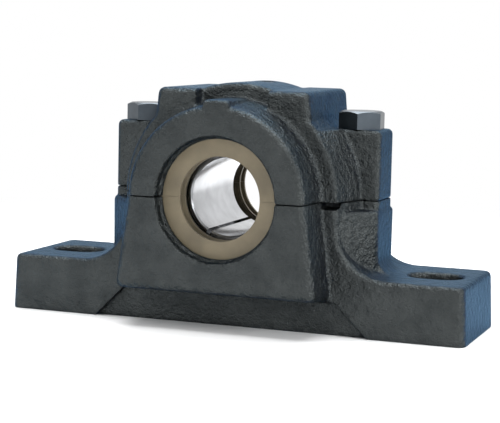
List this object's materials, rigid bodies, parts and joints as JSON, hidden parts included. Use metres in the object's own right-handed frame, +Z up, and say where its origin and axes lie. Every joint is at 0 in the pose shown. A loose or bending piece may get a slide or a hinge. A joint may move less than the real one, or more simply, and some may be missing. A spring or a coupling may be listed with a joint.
{
  "type": "split plummer block",
  "caption": "Split cast plummer block: slotted foot, bolted cap, split seals and a spherical roller bearing on a slit adapter sleeve.",
  "frame": {"origin": "bottom centre of the foot, under the shaft axis", "axes": "+X along the foot, +Y along the shaft to the rear, +Z up; the lock nut is at the front, at -Y"},
  "size_m": [0.185, 0.082, 0.093],
  "materials": {
    "painted_iron": "semi-gloss paint over a cast skin",
    "zinc_steel": "zinc plated, satin",
    "plain_steel": "machined, lightly oiled",
    "ground_steel": "ground",
    "turned_steel": "fine turned and polished",
    "brass": "machined",
    "seal_rubber": "matt"
  },
  "bodies": {
    "housing": {"base": "painted_iron", "cap": "painted_iron", "cap_bolt_left": "zinc_steel", "cap_bolt_right": "zinc_steel", "dowel_pin_left": "ground_steel", "dowel_pin_right": "ground_steel", "grease_plug": "zinc_steel", "outer_ring": "ground_steel", "locating_ring_front": "plain_steel", "locating_ring_rear": "plain_steel", "seal_front_upper": "seal_rubber", "seal_front_lower": "seal_rubber", "seal_rear_upper": "seal_rubber", "seal_rear_lower": "seal_rubber"},
    "swivel": {"guide_ring": "plain_steel"},
    "shaft_group": {"inner_ring": "ground_steel", "adapter_sleeve": "turned_steel", "lock_washer": "plain_steel", "lock_nut": "plain_steel"},
    "cage_front_body": {"cage_front": "brass"},
    "cage_rear_body": {"cage_rear": "brass"},
    "roller_front_01_body": {"roller_front_01": "ground_steel"},
    "roller_front_02_body": {"roller_front_02": "ground_steel"},
    "roller_front_03_body": {"roller_front_03": "ground_steel"},
    "roller_front_04_body": {"roller_front_04": "ground_steel"},
    "roller_front_05_body": {"roller_front_05": "ground_steel"},
    "roller_front_06_body": {"roller_front_06": "ground_steel"},
    "roller_front_07_body": {"roller_front_07": "ground_steel"},
    "roller_front_08_body": {"roller_front_08": "ground_steel"},
    "roller_front_09_body": {"roller_front_09": "ground_steel"},
    "roller_front_10_body": {"roller_front_10": "ground_steel"},
    "roller_front_11_body": {"roller_front_11": "ground_steel"},
    "roller_front_12_body": {"roller_front_12": "ground_steel"},
    "roller_front_13_body": {"roller_front_13": "ground_steel"},
    "roller_front_14_body": {"roller_front_14": "ground_steel"},
    "roller_rear_01_body": {"roller_rear_01": "ground_steel"},
    "roller_rear_02_body": {"roller_rear_02": "ground_steel"},
    "roller_rear_03_body": {"roller_rear_03": "ground_steel"},
    "roller_rear_04_body": {"roller_rear_04": "ground_steel"},
    "roller_rear_05_body": {"roller_rear_05": "ground_steel"},
    "roller_rear_06_body": {"roller_rear_06": "ground_steel"},
    "roller_rear_07_body": {"roller_rear_07": "ground_steel"},
    "roller_rear_08_body": {"roller_rear_08": "ground_steel"},
    "roller_rear_09_body": {"roller_rear_09": "ground_steel"},
    "roller_rear_10_body": {"roller_rear_10": "ground_steel"},
    "roller_rear_11_body": {"roller_rear_11": "ground_steel"},
    "roller_rear_12_body": {"roller_rear_12": "ground_steel"},
    "roller_rear_13_body": {"roller_rear_13": "ground_steel"},
    "roller_rear_14_body": {"roller_rear_14": "ground_steel"}
  },
  "joints": [
    {"name": "align_tilt", "type": "hinge", "parent": "housing", "child": "swivel", "pos_m": [0, 0, 0.05], "axis": [1, 0, 0], "range_deg": [-1, 1]},
    {"name": "shaft_turn", "type": "hinge", "parent": "swivel", "child": "shaft_group", "pos_m": [0, 0, 0.05], "axis": [0, 1, 0], "continuous": true},
    {"name": "cage_front_turn", "type": "hinge", "parent": "swivel", "child": "cage_front_body", "pos_m": [0, 0, 0.05], "axis": [0, 1, 0], "continuous": true},
    {"name": "cage_rear_turn", "type": "hinge", "parent": "swivel", "child": "cage_rear_body", "pos_m": [0, 0, 0.05], "axis": [0, 1, 0], "continuous": true},
    {"name": "roller_front_01_spin", "type": "hinge", "parent": "cage_front_body", "child": "roller_front_01_body", "pos_m": [0.00576, -0.0055, 0.07522], "axis": [0.0463, 0.9781, 0.2027], "continuous": true},
    {"name": "roller_front_02_spin", "type": "hinge", "parent": "cage_front_body", "child": "roller_front_02_body", "pos_m": [0.01613, -0.0055, 0.07023], "axis": [0.1296, 0.9781, 0.1626], "continuous": true},
    {"name": "roller_front_03_spin", "type": "hinge", "parent": "cage_front_body", "child": "roller_front_03_body", "pos_m": [0.02331, -0.0055, 0.06123], "axis": [0.1873, 0.9781, 0.0902], "continuous": true},
    {"name": "roller_front_04_spin", "type": "hinge", "parent": "cage_front_body", "child": "roller_front_04_body", "pos_m": [0.02587, -0.0055, 0.05], "axis": [0.2079, 0.9781, 0], "continuous": true},
    {"name": "roller_front_05_spin", "type": "hinge", "parent": "cage_front_body", "child": "roller_front_05_body", "pos_m": [0.02331, -0.0055, 0.03877], "axis": [0.1873, 0.9781, -0.0902], "continuous": true},
    {"name": "roller_front_06_spin", "type": "hinge", "parent": "cage_front_body", "child": "roller_front_06_body", "pos_m": [0.01613, -0.0055, 0.02977], "axis": [0.1296, 0.9781, -0.1626], "continuous": true},
    {"name": "roller_front_07_spin", "type": "hinge", "parent": "cage_front_body", "child": "roller_front_07_body", "pos_m": [0.00576, -0.0055, 0.02478], "axis": [0.0463, 0.9781, -0.2027], "continuous": true},
    {"name": "roller_front_08_spin", "type": "hinge", "parent": "cage_front_body", "child": "roller_front_08_body", "pos_m": [-0.00576, -0.0055, 0.02478], "axis": [-0.0463, 0.9781, -0.2027], "continuous": true},
    {"name": "roller_front_09_spin", "type": "hinge", "parent": "cage_front_body", "child": "roller_front_09_body", "pos_m": [-0.01613, -0.0055, 0.02977], "axis": [-0.1296, 0.9781, -0.1626], "continuous": true},
    {"name": "roller_front_10_spin", "type": "hinge", "parent": "cage_front_body", "child": "roller_front_10_body", "pos_m": [-0.02331, -0.0055, 0.03877], "axis": [-0.1873, 0.9781, -0.0902], "continuous": true},
    {"name": "roller_front_11_spin", "type": "hinge", "parent": "cage_front_body", "child": "roller_front_11_body", "pos_m": [-0.02587, -0.0055, 0.05], "axis": [-0.2079, 0.9781, 0], "continuous": true},
    {"name": "roller_front_12_spin", "type": "hinge", "parent": "cage_front_body", "child": "roller_front_12_body", "pos_m": [-0.02331, -0.0055, 0.06123], "axis": [-0.1873, 0.9781, 0.0902], "continuous": true},
    {"name": "roller_front_13_spin", "type": "hinge", "parent": "cage_front_body", "child": "roller_front_13_body", "pos_m": [-0.01613, -0.0055, 0.07023], "axis": [-0.1296, 0.9781, 0.1626], "continuous": true},
    {"name": "roller_front_14_spin", "type": "hinge", "parent": "cage_front_body", "child": "roller_front_14_body", "pos_m": [-0.00576, -0.0055, 0.07522], "axis": [-0.0463, 0.9781, 0.2027], "continuous": true},
    {"name": "roller_rear_01_spin", "type": "hinge", "parent": "cage_rear_body", "child": "roller_rear_01_body", "pos_m": [0, 0.0055, 0.07587], "axis": [0, 0.9781, -0.2079], "continuous": true},
    {"name": "roller_rear_02_spin", "type": "hinge", "parent": "cage_rear_body", "child": "roller_rear_02_body", "pos_m": [0.01123, 0.0055, 0.07331], "axis": [-0.0902, 0.9781, -0.1873], "continuous": true},
    {"name": "roller_rear_03_spin", "type": "hinge", "parent": "cage_rear_body", "child": "roller_rear_03_body", "pos_m": [0.02023, 0.0055, 0.06613], "axis": [-0.1626, 0.9781, -0.1296], "continuous": true},
    {"name": "roller_rear_04_spin", "type": "hinge", "parent": "cage_rear_body", "child": "roller_rear_04_body", "pos_m": [0.02522, 0.0055, 0.05576], "axis": [-0.2027, 0.9781, -0.0463], "continuous": true},
    {"name": "roller_rear_05_spin", "type": "hinge", "parent": "cage_rear_body", "child": "roller_rear_05_body", "pos_m": [0.02522, 0.0055, 0.04424], "axis": [-0.2027, 0.9781, 0.0463], "continuous": true},
    {"name": "roller_rear_06_spin", "type": "hinge", "parent": "cage_rear_body", "child": "roller_rear_06_body", "pos_m": [0.02023, 0.0055, 0.03387], "axis": [-0.1626, 0.9781, 0.1296], "continuous": true},
    {"name": "roller_rear_07_spin", "type": "hinge", "parent": "cage_rear_body", "child": "roller_rear_07_body", "pos_m": [0.01123, 0.0055, 0.02669], "axis": [-0.0902, 0.9781, 0.1873], "continuous": true},
    {"name": "roller_rear_08_spin", "type": "hinge", "parent": "cage_rear_body", "child": "roller_rear_08_body", "pos_m": [0, 0.0055, 0.02413], "axis": [0, 0.9781, 0.2079], "continuous": true},
    {"name": "roller_rear_09_spin", "type": "hinge", "parent": "cage_rear_body", "child": "roller_rear_09_body", "pos_m": [-0.01123, 0.0055, 0.02669], "axis": [0.0902, 0.9781, 0.1873], "continuous": true},
    {"name": "roller_rear_10_spin", "type": "hinge", "parent": "cage_rear_body", "child": "roller_rear_10_body", "pos_m": [-0.02023, 0.0055, 0.03387], "axis": [0.1626, 0.9781, 0.1296], "continuous": true},
    {"name": "roller_rear_11_spin", "type": "hinge", "parent": "cage_rear_body", "child": "roller_rear_11_body", "pos_m": [-0.02522, 0.0055, 0.04424], "axis": [0.2027, 0.9781, 0.0463], "continuous": true},
    {"name": "roller_rear_12_spin", "type": "hinge", "parent": "cage_rear_body", "child": "roller_rear_12_body", "pos_m": [-0.02522, 0.0055, 0.05576], "axis": [0.2027, 0.9781, -0.0463], "continuous": true},
    {"name": "roller_rear_13_spin", "type": "hinge", "parent": "cage_rear_body", "child": "roller_rear_13_body", "pos_m": [-0.02023, 0.0055, 0.06613], "axis": [0.1626, 0.9781, -0.1296], "continuous": true},
    {"name": "roller_rear_14_spin", "type": "hinge", "parent": "cage_rear_body", "child": "roller_rear_14_body", "pos_m": [-0.01123, 0.0055, 0.07331], "axis": [0.0902, 0.9781, -0.1873], "continuous": true}
  ],
  "couplings": [
    {"joint": "cage_front_turn", "follows": "shaft_turn", "ratio": 0.413},
    {"joint": "cage_rear_turn", "follows": "shaft_turn", "ratio": 0.413},
    {"joint": "roller_front_01_spin", "follows": "shaft_turn", "ratio": -2.7271},
    {"joint": "roller_front_02_spin", "follows": "shaft_turn", "ratio": -2.7271},
    {"joint": "roller_front_03_spin", "follows": "shaft_turn", "ratio": -2.7271},
    {"joint": "roller_front_04_spin", "follows": "shaft_turn", "ratio": -2.7271},
    {"joint": "roller_front_05_spin", "follows": "shaft_turn", "ratio": -2.7271},
    {"joint": "roller_front_06_spin", "follows": "shaft_turn", "ratio": -2.7271},
    {"joint": "roller_front_07_spin", "follows": "shaft_turn", "ratio": -2.7271},
    {"joint": "roller_front_08_spin", "follows": "shaft_turn", "ratio": -2.7271},
    {"joint": "roller_front_09_spin", "follows": "shaft_turn", "ratio": -2.7271},
    {"joint": "roller_front_10_spin", "follows": "shaft_turn", "ratio": -2.7271},
    {"joint": "roller_front_11_spin", "follows": "shaft_turn", "ratio": -2.7271},
    {"joint": "roller_front_12_spin", "follows": "shaft_turn", "ratio": -2.7271},
    {"joint": "roller_front_13_spin", "follows": "shaft_turn", "ratio": -2.7271},
    {"joint": "roller_front_14_spin", "follows": "shaft_turn", "ratio": -2.7271},
    {"joint": "roller_rear_01_spin", "follows": "shaft_turn", "ratio": -2.7271},
    {"joint": "roller_rear_02_spin", "follows": "shaft_turn", "ratio": -2.7271},
    {"joint": "roller_rear_03_spin", "follows": "shaft_turn", "ratio": -2.7271},
    {"joint": "roller_rear_04_spin", "follows": "shaft_turn", "ratio": -2.7271},
    {"joint": "roller_rear_05_spin", "follows": "shaft_turn", "ratio": -2.7271},
    {"joint": "roller_rear_06_spin", "follows": "shaft_turn", "ratio": -2.7271},
    {"joint": "roller_rear_07_spin", "follows": "shaft_turn", "ratio": -2.7271},
    {"joint": "roller_rear_08_spin", "follows": "shaft_turn", "ratio": -2.7271},
    {"joint": "roller_rear_09_spin", "follows": "shaft_turn", "ratio": -2.7271},
    {"joint": "roller_rear_10_spin", "follows": "shaft_turn", "ratio": -2.7271},
    {"joint": "roller_rear_11_spin", "follows": "shaft_turn", "ratio": -2.7271},
    {"joint": "roller_rear_12_spin", "follows": "shaft_turn", "ratio": -2.7271},
    {"joint": "roller_rear_13_spin", "follows": "shaft_turn", "ratio": -2.7271},
    {"joint": "roller_rear_14_spin", "follows": "shaft_turn", "ratio": -2.7271}
  ]
}
